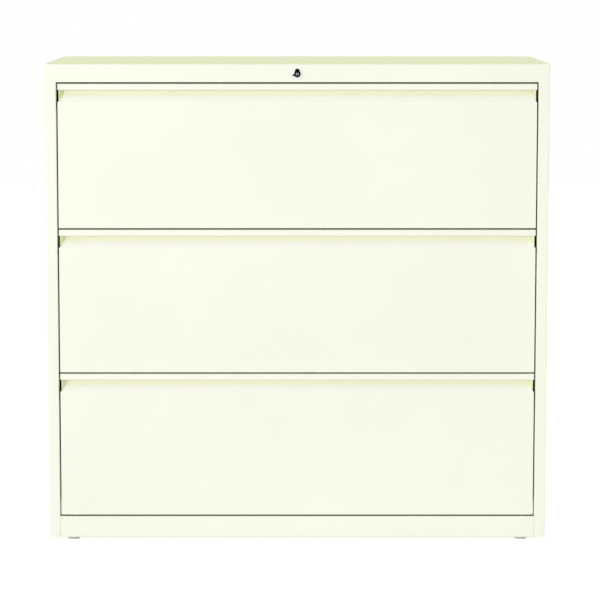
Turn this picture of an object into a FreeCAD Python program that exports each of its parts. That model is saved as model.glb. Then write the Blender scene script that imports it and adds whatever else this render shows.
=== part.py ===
import FreeCAD, Part
import math
import os
import re
import Sketcher

# A three-drawer lateral filing cabinet of folded sheet steel.
# X runs to the right, the drawers face -Y, Z is up.
# The origin is on the floor, under the middle of the case.

# Driving sizes in millimetres.
SIZES = {
    # Case
    "case_width": 1066.8,
    "case_depth": 473.0,
    "case_height": 1022.0,
    "case_sheet": 1.0,
    "upright_width": 23.5,
    "jamb_depth": 22.0,
    "jamb_lip": 12.0,
    "header_height": 38.5,
    "header_lip": 12.0,
    "rear_flange": 18.0,
    "floor_flange": 20.0,
    "bend_radius": 1.0,
    # Base
    "base_clearance": 5.0,
    "base_height": 46.0,
    "front_rail_depth": 30.0,
    "rear_rail_depth": 60.0,
    "rail_lip": 12.0,
    "weight_margin": 59.9,
    "weight_height": 36.0,
    "weight_fit": 0.3,
    # Levelling glides
    "glide_margin": 51.4,
    "glide_inset": 16.0,
    "glide_diameter": 24.0,
    "glide_gap": 0.4,
    "stud_diameter": 8.0,
    "stud_height": 40.0,
    "stud_slot_width": 1.4,
    "stud_slot_depth": 2.5,
    "stud_hole": 9.0,
    "nut_width": 13.0,
    "nut_height": 6.5,
    "thread_fit": 0.1,
    "access_hole": 20.0,
    # Slide posts
    "post_width": 30.0,
    "post_gauge": 1.5,
    "hook_pitch": 25.4,
    "hook_drop": 6.0,
    "hook_neck": 3.0,
    "hook_gauge": 1.5,
    "hook_width": 2.0,
    "slot_width": 3.0,
    "slot_height": 14.0,
    "hook_fit": 0.3,
    # Telescopic slides
    "slide_rear_room": 37.9,
    "slide_thickness": 12.7,
    "slide_height": 45.7,
    "slide_gauge": 1.2,
    "slide_rise": 80.0,
    "slide_play": 0.5,
    "slide_shorter": 12.0,
    "ball_diameter": 2.6,
    "ball_lip_gap": 0.4,
    "opening_play": 0.5,
    # Drawer fronts
    "drawer_gap": 3.2,
    "drawer_sheet": 0.9,
    "front_thickness": 22.0,
    "lip_height": 13.0,
    "lip_hem": 5.0,
    "hem_rise": 5.0,
    "pull_height": 25.0,
    "pull_depth": 16.0,
    "pull_wall": 20.0,
    "pull_root": 6.0,
    "pull_blend": 14.0,
    "pull_notch": 2.5,
    "cap_rim": 0.8,
    "cap_slope": 9.2,
    "cap_set": 0.6,
    # Drawer trays
    "tray_rear_room": 31.0,
    "tray_height": 240.0,
    "tray_rise": 12.0,
    "tray_hem": 10.0,
    "tray_flange": 12.0,
    "hang_rail_gauge": 2.5,
    "hang_rail_rise": 8.0,
    "hang_rail_drop": 14.0,
    "front_rail_inset": 18.0,
    "rear_rail_inset": 15.0,
    "hang_rail_fit": 0.5,
    # Lock
    "lock_drop": 21.0,
    "bezel_diameter": 24.0,
    "bezel_rise": 2.4,
    "bezel_bevel": 1.2,
    "barrel_diameter": 14.6,
    "barrel_depth": 19.0,
    "barrel_rise": 1.6,
    "lobe_diameter": 10.8,
    "lobe_offset": 6.0,
    "lock_hole_fit": 0.1,
    "plug_diameter": 7.5,
    "plug_fit": 0.05,
    "plug_rise": 2.0,
    "key_slot_width": 1.4,
    "key_slot_height": 5.4,
    "key_slot_depth": 9.0,
    "tang_width": 4.8,
    "tang_end": 1.0,
    # Lock works
    "lock_gap": 0.4,
    "cam_throw": 9.0,
    "cam_hub": 12.0,
    "cam_arm": 7.0,
    "cam_gauge": 2.0,
    "pin_diameter": 4.0,
    "pin_play": 0.5,
    "link_gauge": 2.5,
    "link_margin": 2.5,
    "bar_width": 13.0,
    "bar_gauge": 3.0,
    "bar_overhang": 25.0,
    "pin_reach": 6.5,
    "lug_reach": 8.0,
    "lug_height": 10.0,
    "lug_gap": 1.0,
    "guide_gauge": 1.0,
    "guide_length": 16.0,
    "guide_rise": 140.0,
    "guide_hook": 3.2,
    "inner_cradle": 130.0,
    "outer_cradle_margin": 119.9,
    "catch_rise": 200.0,
    "catch_height": 12.0,
    "catch_gauge": 2.5,
    "catch_foot": 14.0,
    "catch_gap": 0.6,
}

DRAWERS = ("drawer_1", "drawer_2", "drawer_3")

# How far a cutter runs past the metal.
OVERRUN = "1"

# Places that follow from the sizes.
SIDE = "(case_width / 2)"
FRONT = "(-case_depth / 2)"
BACK = "(case_depth / 2)"
OPENING = "(case_width / 2 - upright_width)"
CASE_BEND = "(bend_radius + case_sheet)"
GLIDE_ACROSS = f"({SIDE} - glide_margin)"
BASE_TOP = "(base_clearance + base_height)"
HEADER_BOTTOM = "(case_height - header_height)"
TOP_UNDERSIDE = "(case_height - case_sheet)"
BACK_FACE = "(case_depth / 2 - 2 * case_sheet)"
DRAWER_PITCH = f"(({HEADER_BOTTOM} - {BASE_TOP} - drawer_gap) / {len(DRAWERS)})"
FRONT_HEIGHT = f"({DRAWER_PITCH} - drawer_gap)"
FRONT_HALF = f"({OPENING} - drawer_gap)"
LOWEST_DRAWER = f"({BASE_TOP} + drawer_gap)"
PULL_BOTTOM = f"({FRONT_HEIGHT} - lip_height - pull_height)"
TRAY_DEPTH = "(case_depth - front_thickness - tray_rear_room)"
TRAY_TOP = "(tray_rise + tray_height)"

# A slide is a nest of three members, and all but the fixed one pass through the case's opening.
SLIDE_BACK = f"({OPENING} - opening_play + slide_gauge + slide_play)"
TRAY_HALF = f"({SLIDE_BACK} - slide_thickness)"
MIDDLE_HALF = "(slide_height / 2 - slide_gauge - ball_diameter)"
INNER_HALF = f"({MIDDLE_HALF} - slide_gauge - ball_diameter)"

# The lock works lie in layers behind the front plane.
LOCK_CENTRE = "(case_height - lock_drop)"
LINK_LAYER = "(jamb_depth + lock_gap)"
BAR_LAYER = f"({LINK_LAYER} + link_gauge + lock_gap)"
POST_LAYER = f"({BAR_LAYER} + bar_gauge + lock_gap)"
CATCH_LAYER = f"({BAR_LAYER} + bar_gauge + catch_gap)"
SLIDE_LENGTH = f"(case_depth - {POST_LAYER} - slide_rear_room)"
REAR_POST = f"({POST_LAYER} + {SLIDE_LENGTH} - post_width)"
CAM_REACH = "(cam_throw * sin(45))"
LOCK_TRAVEL = f"(2 * {CAM_REACH})"
LINK_LOW = f"({HEADER_BOTTOM} + guide_gauge + lock_gap)"
LINK_TOP = f"({LOCK_CENTRE} - plug_diameter / 2 - lock_gap)"
SLANT = "((pin_diameter + 2 * pin_play) / sqrt(2))"
BAR_EDGE = f"({SLIDE_BACK} + guide_gauge + lock_gap)"
BAR_PIN = f"({BAR_EDGE} - pin_reach)"
BAR_PIN_HEIGHT = f"({LINK_LOW} + link_margin + {SLANT} + {LOCK_TRAVEL})"

WAYS = {"right": (1, 0), "left": (-1, 0), "up": (0, 1), "down": (0, -1)}
UNSOLVED_RADIUS = 100.0
SAME_PLACE = 1e-4

doc = FreeCAD.newDocument("lateral_file")


def make_sheet():
    """Keep every driving size in a cell with its own name."""
    sheet = doc.addObject("Spreadsheet::Sheet", "Sizes")
    for row, (name, value) in enumerate(SIZES.items(), 1):
        sheet.set(f"A{row}", name)
        sheet.set(f"B{row}", str(value))
        sheet.setAlias(f"B{row}", name)
    doc.recompute()


def cells(formula):
    """Point each size's name in a formula at its cell."""
    return re.sub(r"[a-z]\w+", lambda word: f"Sizes.{word[0]}" if word[0] in SIZES else word[0], formula)


def new_body(label, across="0", back="0", up="0"):
    """Start a piece, standing at the given place."""
    body = doc.addObject("PartDesign::Body", label)
    body.Label = label
    for axis, formula in (("x", across), ("y", back), ("z", up)):
        body.setExpression(f"Placement.Base.{axis}", cells(formula))
    return body


def new_sketch(body, name, plane, at):
    """Lay a sketch on one of the body's planes, at a height along the axis it faces."""
    sketch = body.newObject("Sketcher::SketchObject", name)
    faces = [item for item in body.Origin.OriginFeatures if item.Role == f"{plane}_Plane"]
    sketch.AttachmentSupport = (faces[0], [""])
    sketch.MapMode = "FlatFace"
    sign = "-" if plane == "XZ" else ""
    sketch.setExpression("AttachmentOffset.Base.z", cells(f"{sign}({at})"))
    return sketch


def hold(sketch, name, geometry, formula):
    """Hold one measure of a sketch at a formula."""
    constraint = Sketcher.Constraint(*geometry, UNSOLVED_RADIUS)
    constraint.Name = name
    sketch.addConstraint(constraint)
    sketch.setExpression(f"Constraints.{name}", cells(formula))


def hold_point(sketch, line, end, across, up):
    """Hold one point of a sketch at two formulas."""
    hold(sketch, f"across_{line}", ("DistanceX", -1, 1, line, end), across)
    hold(sketch, f"up_{line}", ("DistanceY", -1, 1, line, end), up)


def outline(body, name, plane, loops, at="0"):
    """Sketch closed outlines through corners given by formulas."""
    sketch = new_sketch(body, name, plane, at)
    first = 0
    for corners in loops:
        count = len(corners)
        turns = [2 * math.pi * number / count for number in range(count)]
        rough = [FreeCAD.Vector(math.cos(turn), math.sin(turn)) * UNSOLVED_RADIUS for turn in turns]
        lines = [Part.LineSegment(rough[number], rough[(number + 1) % count]) for number in range(count)]
        sketch.addGeometry(lines, False)
        for number in range(count):
            joined = first + (number + 1) % count
            sketch.addConstraint(Sketcher.Constraint("Coincident", first + number, 2, joined, 1))
        for number, (across, up) in enumerate(corners):
            hold_point(sketch, first + number, 1, across, up)
        first += count
    doc.recompute([sketch])
    return sketch


def circles(body, name, plane, rounds, at="0"):
    """Sketch circles, each with its centre and diameter given by formulas."""
    sketch = new_sketch(body, name, plane, at)
    facing = FreeCAD.Vector(0, 0, 1)
    for number, (across, up, diameter) in enumerate(rounds):
        sketch.addGeometry(Part.Circle(FreeCAD.Vector(), facing, UNSOLVED_RADIUS), False)
        hold_point(sketch, number, 3, across, up)
        hold(sketch, f"diameter_{number}", ("Diameter", number), diameter)
    doc.recompute([sketch])
    return sketch


def is_front_plane(sketch):
    """Tell whether a sketch looks along -Y, against its axis."""
    return sketch.AttachmentSupport[0][0].Role == "XZ_Plane"


def pad(body, name, sketch, length, both_ways=False):
    """Add metal from a sketch, along the axis it faces or evenly to both sides."""
    feature = body.newObject("PartDesign::Pad", name)
    feature.Profile = sketch
    feature.Reversed = is_front_plane(sketch)
    if both_ways:
        feature.SideType = "Symmetric"
    feature.setExpression("Length", cells(length))
    body.Tip = feature
    doc.recompute([feature])
    return feature


def cut(body, name, sketch, length, both_ways=False):
    """Take metal away from a sketch, along the axis it faces or evenly to both sides."""
    feature = body.newObject("PartDesign::Pocket", name)
    feature.Profile = sketch
    feature.Reversed = not is_front_plane(sketch)
    if both_ways:
        feature.SideType = "Symmetric"
    feature.setExpression("Length", cells(length))
    body.Tip = feature
    doc.recompute([feature])
    return feature


def turn(body, name, sketch):
    """Turn a profile round the sketch's upright axis."""
    feature = body.newObject("PartDesign::Revolution", name)
    feature.Profile = sketch
    feature.ReferenceAxis = (sketch, ["V_Axis"])
    feature.Angle = 360
    body.Tip = feature
    doc.recompute([feature])
    return feature


def repeat_up(body, name, feature, sketch, count, length):
    """Repeat a feature up the sketch's upright axis."""
    pattern = body.newObject("PartDesign::LinearPattern", name)
    pattern.Originals = [feature]
    pattern.Direction = (sketch, ["V_Axis"])
    pattern.setExpression("Length", cells(length))
    pattern.Occurrences = count
    body.Tip = pattern
    doc.recompute([pattern])
    return pattern


def bend(body, name, sketch, corners, radius):
    """Round the edges that run through the given corners of a padded sketch."""
    facing = sketch.Placement.Rotation.multVec(FreeCAD.Vector(0, 0, 1))
    base = body.Tip
    chosen = []
    for corner in corners:
        point = sketch.Placement.multVec(sketch.Geometry[corner].StartPoint)
        for number, edge in enumerate(base.Shape.Edges, 1):
            start = edge.Vertexes[0].Point
            run = edge.Vertexes[-1].Point - start
            along = run.Length > SAME_PLACE and run.cross(facing).Length < SAME_PLACE * run.Length
            if along and (start - point).cross(facing).Length < SAME_PLACE:
                chosen.append(f"Edge{number}")
    if not chosen:
        raise ValueError(f"{body.Label}: no edge for {name}")
    feature = body.newObject("PartDesign::Fillet", name)
    feature.Base = (base, chosen)
    feature.setExpression("Radius", cells(radius))
    body.Tip = feature
    doc.recompute([feature])
    return feature


def folded_corners(start, moves, gauge, metal_left):
    """Outline a folded sheet whose outer face follows the moves from a start.

    Returns the corners, then the numbers of those inside a bend and of those outside it.
    """
    path = [start]
    for way, length in moves:
        step = WAYS[way]
        path.append(tuple(f"{place} + {move} * ({length})" for place, move in zip(path[-1], step)))
    side = 1 if metal_left else -1
    steps = [WAYS[way] for way, _ in moves]
    offsets = [(-side * step[1], side * step[0]) for step in steps]
    rear = []
    inside = []
    outside = []
    for number, (across, up) in enumerate(path):
        near = offsets[max(number - 1, 0):number + 1]
        shift = (sum(offset[0] for offset in near), sum(offset[1] for offset in near))
        rear.append((f"{across} + {shift[0]} * {gauge}", f"{up} + {shift[1]} * {gauge}"))
        if 0 < number < len(path) - 1:
            before, after = steps[number - 1], steps[number]
            turns_left = before[0] * after[1] - before[1] * after[0] > 0
            mate = 2 * len(path) - 1 - number
            inner, outer = (mate, number) if turns_left == metal_left else (number, mate)
            inside.append(inner)
            outside.append(outer)
    return path + rear[::-1], inside, outside


def folded(body, plane, start, moves, gauge, length, at="0", radius="bend_radius", metal_left=True,
           both_ways=False):
    """Fold a sheet along the moves, run it out to its length and round its bends, if they have a radius."""
    corners, inside, outside = folded_corners(start, moves, gauge, metal_left)
    sketch = outline(body, "fold_outline", plane, [corners], at)
    pad(body, "folded_sheet", sketch, length, both_ways)
    if radius:
        bend(body, "inner_bends", sketch, inside, radius)
        bend(body, "outer_bends", sketch, outside, f"{radius} + {gauge}")


def rectangle(left, low, right, high):
    """Corners of a rectangle."""
    return [(left, low), (right, low), (right, high), (left, high)]


def mirrored(label, source):
    """The right-hand twin of a left-hand piece."""
    twin = doc.addObject("Part::Mirroring", label)
    twin.Label = label
    twin.Source = source
    twin.Normal = FreeCAD.Vector(1, 0, 0)
    return twin


def grouped(label, members):
    """Separate solids that share one name."""
    group = doc.addObject("Part::Compound", label)
    group.Label = label
    group.Links = members
    return group


def side_panel():
    """Left side with its rear flange, front upright and jamb from one sheet."""
    body = new_body("side_panel_left")
    moves = [
        ("left", "rear_flange"),
        ("down", "case_depth"),
        ("right", "upright_width"),
        ("up", "jamb_depth"),
        ("left", "jamb_lip"),
    ]
    start = (f"-{SIDE} + rear_flange", BACK)
    length = f"{TOP_UNDERSIDE} - base_clearance"
    folded(body, "XY", start, moves, "case_sheet", length, "base_clearance")
    flange = rectangle(f"-{SIDE} + case_sheet / 2", f"{FRONT} + case_sheet / 2",
                       f"-{SIDE} + floor_flange", f"{BACK} - case_sheet / 2")
    pad(body, "floor_flange", outline(body, "flange_outline", "XY", [flange], "base_clearance"), "case_sheet")
    # The header rests on the jamb and meets the upright's face edge to edge.
    seat = [
        (f"-{OPENING} + {OVERRUN}", f"{FRONT} - {OVERRUN}"),
        (f"-{OPENING} - {CASE_BEND}", f"{FRONT} - {OVERRUN}"),
        (f"-{OPENING} - {CASE_BEND}", f"{FRONT} + {CASE_BEND}"),
        (f"-{OPENING} - jamb_lip - {OVERRUN}", f"{FRONT} + {CASE_BEND}"),
        (f"-{OPENING} - jamb_lip - {OVERRUN}", f"{FRONT} + jamb_depth + {OVERRUN}"),
        (f"-{OPENING} + {OVERRUN}", f"{FRONT} + jamb_depth + {OVERRUN}"),
    ]
    cut(body, "header_seat", outline(body, "seat_outline", "XY", [seat], HEADER_BOTTOM), "header_height")
    return body


def keyhole(body, at, depth, fit):
    """Cut the lock's opening: a round hole with a smaller one over it."""
    barrel = circles(body, "barrel_circle", "XZ", [("0", "0", f"barrel_diameter + 2 * {fit}")], at)
    cut(body, "barrel_hole", barrel, depth)
    lobe = circles(body, "lobe_circle", "XZ", [("0", "lobe_offset", f"lobe_diameter + 2 * {fit}")], at)
    cut(body, "lobe_hole", lobe, depth)


def top_panel():
    """Top, header in front and flange behind from one sheet, notched at the corners."""
    body = new_body("top_panel", up=LOCK_CENTRE)
    moves = [
        ("up", "rear_flange"),
        ("left", "case_depth"),
        ("down", "header_height"),
        ("right", "jamb_depth"),
        ("up", "header_lip"),
    ]
    start = (BACK, "lock_drop - rear_flange")
    folded(body, "YZ", start, moves, "case_sheet", "case_width", both_ways=True)
    header_edge = f"({OPENING} + {CASE_BEND})"
    header_low = f"lock_drop - header_height - {OVERRUN}"
    notches = [
        rectangle(header_edge, header_low, f"{SIDE} + {OVERRUN}", "lock_drop - case_sheet"),
        rectangle(f"-{SIDE} - {OVERRUN}", header_low, f"-{header_edge}", "lock_drop - case_sheet"),
    ]
    front = outline(body, "front_notches", "XZ", notches, f"{FRONT} - {OVERRUN}")
    cut(body, "upright_notches", front, BACK)
    flange_edge = f"({SIDE} - rear_flange)"
    flange_low = f"lock_drop - rear_flange - {OVERRUN}"
    notches = [
        rectangle(flange_edge, flange_low, f"{SIDE} + {OVERRUN}", "lock_drop - case_sheet"),
        rectangle(f"-{SIDE} - {OVERRUN}", flange_low, f"-{flange_edge}", "lock_drop - case_sheet"),
    ]
    rear = outline(body, "rear_notches", "XZ", notches, "0")
    cut(body, "flange_notches", rear, f"{BACK} + {OVERRUN}")
    keyhole(body, f"{FRONT} - {OVERRUN}", f"case_sheet + 2 * {OVERRUN}", "lock_hole_fit")
    return body


def back_panel():
    """Flat back, held inside the rear flanges."""
    body = new_body("back_panel")
    edge = f"({SIDE} - {CASE_BEND})"
    plate = rectangle(f"-{edge}", "base_clearance + case_sheet", edge, f"case_height - {CASE_BEND}")
    pad(body, "plate", outline(body, "plate_outline", "XZ", [plate], BACK_FACE), "case_sheet")
    return body


def glide_holes(body, name, back, height, diameter):
    """Cut a pair of round holes over the glides through the flange at a height."""
    rounds = [(f"{side} * {GLIDE_ACROSS}", back, diameter) for side in (-1, 1)]
    sketch = circles(body, f"{name}_circles", "XY", rounds, f"{height} - {OVERRUN}")
    cut(body, name, sketch, f"case_sheet + 2 * {OVERRUN}")


def base_front_rail():
    """Channel under the lowest drawer, between the uprights."""
    body = new_body("base_front_rail", back=FRONT)
    moves = [
        ("up", "rail_lip"),
        ("left", "front_rail_depth"),
        ("down", "base_height"),
        ("right", "front_rail_depth"),
        ("up", "rail_lip"),
    ]
    start = ("front_rail_depth", f"{BASE_TOP} - rail_lip")
    folded(body, "YZ", start, moves, "case_sheet", f"2 * {OPENING}", both_ways=True)
    glide_holes(body, "access_holes", "glide_inset", f"{BASE_TOP} - case_sheet", "access_hole")
    glide_holes(body, "stud_holes", "glide_inset", "base_clearance", "stud_hole")
    return body


def base_rear_rail():
    """Deep channel against the back panel, open to the front, that holds the counterweight."""
    body = new_body("base_rear_rail", back=BACK_FACE)
    moves = [
        ("up", "rail_lip"),
        ("right", "rear_rail_depth"),
        ("down", "base_height"),
        ("left", "rear_rail_depth"),
        ("up", "rail_lip"),
    ]
    start = ("-rear_rail_depth", f"{BASE_TOP} - rail_lip")
    folded(body, "YZ", start, moves, "case_sheet", f"2 * {OPENING}", radius=None, metal_left=False,
           both_ways=True)
    glide_holes(body, "stud_holes", "-glide_inset", "base_clearance", "stud_hole")
    return body


def counterweight():
    """Steel bar lying in the rear rail."""
    body = new_body("counterweight", back=BACK_FACE, up="base_clearance + case_sheet")
    edge = "(case_sheet + weight_fit)"
    end = f"({OPENING} - weight_margin)"
    bar = rectangle(f"-{end}", f"-rear_rail_depth + {edge}", end, f"-{edge}")
    pad(body, "bar", outline(body, "bar_outline", "XY", [bar]), "weight_height")
    return body


def slide_post(label, layer):
    """Left post of channel section, with a pair of slots for the hooks of each slide."""
    body = new_body(label, back=f"{FRONT} + {layer}")
    inner_wall = f"({SIDE} - case_sheet)"
    moves = [
        ("right", f"{inner_wall} - {SLIDE_BACK}"),
        ("up", "post_width"),
        ("left", f"{inner_wall} - {SLIDE_BACK}"),
    ]
    foot = "(base_clearance + case_sheet)"
    folded(body, "XY", (f"-{inner_wall}", "0"), moves, "post_gauge", f"{TOP_UNDERSIDE} - {foot}", foot,
           radius=None)
    slots = []
    for side in (-1, 1):
        seat = f"({LOWEST_DRAWER} + slide_rise + {side} * hook_pitch / 2 - hook_neck / 2)"
        slots.append(rectangle("(post_width - slot_width) / 2", seat,
                               "(post_width + slot_width) / 2", f"{seat} + slot_height"))
    sketch = outline(body, "slot_outline", "YZ", slots, f"-{SLIDE_BACK} - post_gauge - {OVERRUN}")
    feature = cut(body, "slots", sketch, f"post_gauge + 2 * {OVERRUN}")
    repeat_up(body, "slot_pattern", feature, sketch, len(DRAWERS), f"{len(DRAWERS) - 1} * {DRAWER_PITCH}")
    return body


def glide(label, across, back):
    """Levelling foot with its stud and a screwdriver slot in the top."""
    body = new_body(label, across, back)
    pad_top = "(base_clearance - glide_gap)"
    profile = [
        ("0", "0"),
        ("glide_diameter / 2", "0"),
        ("glide_diameter / 2", pad_top),
        ("stud_diameter / 2", pad_top),
        ("stud_diameter / 2", "stud_height"),
        ("0", "stud_height"),
    ]
    turn(body, "pad_and_stud", outline(body, "glide_profile", "XZ", [profile]))
    slot = rectangle("-stud_slot_width / 2", f"-stud_diameter / 2 - {OVERRUN}",
                     "stud_slot_width / 2", f"stud_diameter / 2 + {OVERRUN}")
    sketch = outline(body, "slot_outline", "XY", [slot], "stud_height - stud_slot_depth")
    cut(body, "screwdriver_slot", sketch, f"stud_slot_depth + {OVERRUN}")
    return body


def glide_nut(label, across, back):
    """Hexagon nut on the base flange over a glide."""
    body = new_body(label, across, back, "base_clearance + case_sheet")
    corner = "(nut_width / 2 / cos(30))"
    hexagon = [(f"{corner} * cos({60 * number})", f"{corner} * sin({60 * number})") for number in range(6)]
    pad(body, "hexagon", outline(body, "nut_outline", "XY", [hexagon]), "nut_height")
    bore = circles(body, "bore_circle", "XY", [("0", "0", "stud_diameter + 2 * thread_fit")], f"-{OVERRUN}")
    cut(body, "bore", bore, f"nut_height + 2 * {OVERRUN}")
    return body


def lock_bezel():
    """Bevelled ring on the header, round the lock."""
    body = new_body("lock_bezel", back=FRONT, up=LOCK_CENTRE)
    profile = [
        ("0", "0"),
        ("bezel_diameter / 2", "0"),
        ("bezel_diameter / 2 - bezel_bevel", "-bezel_rise"),
        ("0", "-bezel_rise"),
    ]
    turn(body, "disc", outline(body, "disc_profile", "XY", [profile]))
    keyhole(body, f"-bezel_rise - {OVERRUN}", f"bezel_rise + 2 * {OVERRUN}", "lock_hole_fit")
    return body


def lock_housing():
    """Barrel of the lock with the lobe over it, bored for the plug."""
    body = new_body("lock_housing", back=FRONT, up=LOCK_CENTRE)
    depth = "barrel_depth + barrel_rise"
    barrel = circles(body, "barrel_circle", "XZ", [("0", "0", "barrel_diameter")], "-barrel_rise")
    pad(body, "barrel", barrel, depth)
    lobe = circles(body, "lobe_circle", "XZ", [("0", "lobe_offset", "lobe_diameter")], "-barrel_rise")
    pad(body, "lobe", lobe, depth)
    bore = circles(body, "bore_circle", "XZ", [("0", "0", "plug_diameter + 2 * plug_fit")],
                   f"-barrel_rise - {OVERRUN}")
    cut(body, "plug_bore", bore, f"{depth} + 2 * {OVERRUN}")
    return body


def lock_plug():
    """Key plug, with a square tang that carries the cam behind the link."""
    body = new_body("lock_plug", back=FRONT, up=LOCK_CENTRE)
    round_bar = circles(body, "plug_circle", "XZ", [("0", "0", "plug_diameter")], "-plug_rise")
    pad(body, "plug", round_bar, f"plug_rise + {BAR_LAYER}")
    tang = rectangle("-tang_width / 2", "-tang_width / 2", "tang_width / 2", "tang_width / 2")
    pad(body, "tang", outline(body, "tang_outline", "XZ", [tang], BAR_LAYER), "cam_gauge + tang_end")
    slot = rectangle("-key_slot_width / 2", "-key_slot_height / 2", "key_slot_width / 2", "key_slot_height / 2")
    sketch = outline(body, "slot_outline", "XZ", [slot], f"-plug_rise - {OVERRUN}")
    cut(body, "key_slot", sketch, f"key_slot_depth + {OVERRUN}")
    return body


def lock_cam():
    """Cam on the plug's tang, with the pin that drives the link."""
    body = new_body("lock_cam", back=FRONT, up=LOCK_CENTRE)
    half_outline = [
        ("-cam_hub / 2", "cam_hub / 4"),
        ("-cam_hub / 4", "cam_hub / 2"),
        ("cam_hub / 4", "cam_hub / 2"),
        ("cam_throw", "cam_arm / 2"),
        ("cam_throw + cam_arm / 2", "cam_arm / 4"),
    ]
    whole_outline = half_outline + [(along, f"-{aside}") for along, aside in half_outline[::-1]]
    # The arm points to the lower left, half a right angle from the key's slot.
    plate = [
        (f"(-({along}) - ({aside})) * sin(45)", f"(-({along}) + ({aside})) * sin(45)")
        for along, aside in whole_outline
    ]
    pad(body, "plate", outline(body, "plate_outline", "XZ", [plate], BAR_LAYER), "cam_gauge")
    pin = circles(body, "pin_circle", "XZ", [(f"-{CAM_REACH}", f"-{CAM_REACH}", "pin_diameter")], LINK_LAYER)
    pad(body, "pin", pin, f"{BAR_LAYER} - {LINK_LAYER} + cam_gauge")
    edge = "(tang_width / 2 + plug_fit)"
    hole = rectangle(f"-{edge}", f"-{edge}", edge, edge)
    sketch = outline(body, "tang_hole_outline", "XZ", [hole], f"{BAR_LAYER} - {OVERRUN}")
    cut(body, "tang_hole", sketch, f"cam_gauge + 2 * {OVERRUN}")
    return body


def lock_link():
    """Flat link behind the header: a notch for the cam's pin, a slanted slot for the bar's pin."""
    body = new_body("lock_link", back=FRONT)
    left = f"(-{CAM_REACH} - pin_diameter / 2 - pin_play - 3 * link_margin)"
    right = f"({BAR_PIN} + {SLANT} + link_margin)"
    step = f"({BAR_PIN} - {LOCK_TRAVEL} - {SLANT} - link_margin)"
    end_top = f"({BAR_PIN_HEIGHT} + {SLANT} + link_margin)"
    shape = [
        (left, LINK_LOW),
        (right, LINK_LOW),
        (right, end_top),
        (step, end_top),
        (step, LINK_TOP),
        (left, LINK_TOP),
    ]
    pad(body, "link", outline(body, "link_outline", "XZ", [shape], LINK_LAYER), "link_gauge")
    half = "(pin_diameter / 2 + pin_play)"
    notch = rectangle(f"-{CAM_REACH} - {half}", f"{LOCK_CENTRE} - cam_throw - {half}",
                      f"-{CAM_REACH} + {half}", f"{LINK_TOP} + {OVERRUN}")
    sketch = outline(body, "notch_outline", "XZ", [notch], f"{LINK_LAYER} - {OVERRUN}")
    cut(body, "cam_notch", sketch, f"link_gauge + 2 * {OVERRUN}")
    low = (f"({BAR_PIN} - {LOCK_TRAVEL})", f"({BAR_PIN_HEIGHT} - {LOCK_TRAVEL})")
    slot = [
        (f"{BAR_PIN} + {SLANT}", BAR_PIN_HEIGHT),
        (BAR_PIN, f"{BAR_PIN_HEIGHT} + {SLANT}"),
        (f"{low[0]} - {SLANT}", low[1]),
        (low[0], f"{low[1]} - {SLANT}"),
    ]
    sketch = outline(body, "slot_outline", "XZ", [slot], f"{LINK_LAYER} - {OVERRUN}")
    cut(body, "slanted_slot", sketch, f"link_gauge + 2 * {OVERRUN}")
    return body


def lock_bar():
    """Upright flat bar behind the right upright."""
    body = new_body("lock_bar", back=FRONT)
    low = f"({LOWEST_DRAWER} + guide_rise - bar_overhang)"
    strip = rectangle(BAR_EDGE, low, f"{BAR_EDGE} + bar_width", f"{BAR_PIN_HEIGHT} + {SLANT} + link_margin")
    pad(body, "strip", outline(body, "strip_outline", "XZ", [strip], BAR_LAYER), "bar_gauge")
    return body


def bar_head():
    """Plate on the bar's edge, with the pin that the link's slanted slot moves."""
    body = new_body("lock_bar_head", back=FRONT)
    reach = f"({SLANT} + link_margin)"
    plate = rectangle(f"{BAR_PIN} - {reach}", f"{BAR_PIN_HEIGHT} - {reach}", BAR_EDGE, f"{BAR_PIN_HEIGHT} + {reach}")
    pad(body, "plate", outline(body, "plate_outline", "XZ", [plate], BAR_LAYER), "bar_gauge")
    pin = circles(body, "pin_circle", "XZ", [(BAR_PIN, BAR_PIN_HEIGHT, "pin_diameter")], LINK_LAYER)
    pad(body, "pin", pin, f"{BAR_LAYER} - {LINK_LAYER} + bar_gauge")
    return body


def bar_lug(label, drawer_low):
    """Lug on the bar's edge, just over the drawer's catch."""
    body = new_body(label, back=FRONT, up=f"{drawer_low} + catch_rise + catch_height / 2 + lug_gap")
    lug = rectangle(f"{BAR_EDGE} - lug_reach", "0", BAR_EDGE, "lug_height")
    pad(body, "lug", outline(body, "lug_outline", "XZ", [lug], BAR_LAYER), "bar_gauge")
    return body


def link_cradle(label, across):
    """Hooked strip on the header's lip that the link slides in."""
    body = new_body(label, across, FRONT, HEADER_BOTTOM)
    moves = [
        ("right", f"{BAR_LAYER} - jamb_depth + guide_gauge"),
        ("up", f"{LINK_TOP} - {HEADER_BOTTOM} + lock_gap + guide_gauge"),
        ("left", "guide_hook"),
    ]
    folded(body, "YZ", ("jamb_depth", "0"), moves, "guide_gauge", "guide_length", radius=None,
           both_ways=True)
    return body


def bar_strap(label, drawer_low):
    """Strap on the right front post that the bar slides in."""
    body = new_body(label, back=FRONT, up=f"{drawer_low} + guide_rise")
    reach = f"({POST_LAYER} - {BAR_LAYER} + lock_gap + guide_gauge)"
    moves = [
        ("down", reach),
        ("right", "bar_width + 2 * (lock_gap + guide_gauge)"),
        ("up", reach),
    ]
    start = (f"{BAR_EDGE} - lock_gap - guide_gauge", POST_LAYER)
    folded(body, "XY", start, moves, "guide_gauge", "guide_length", radius=None)
    return body


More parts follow.
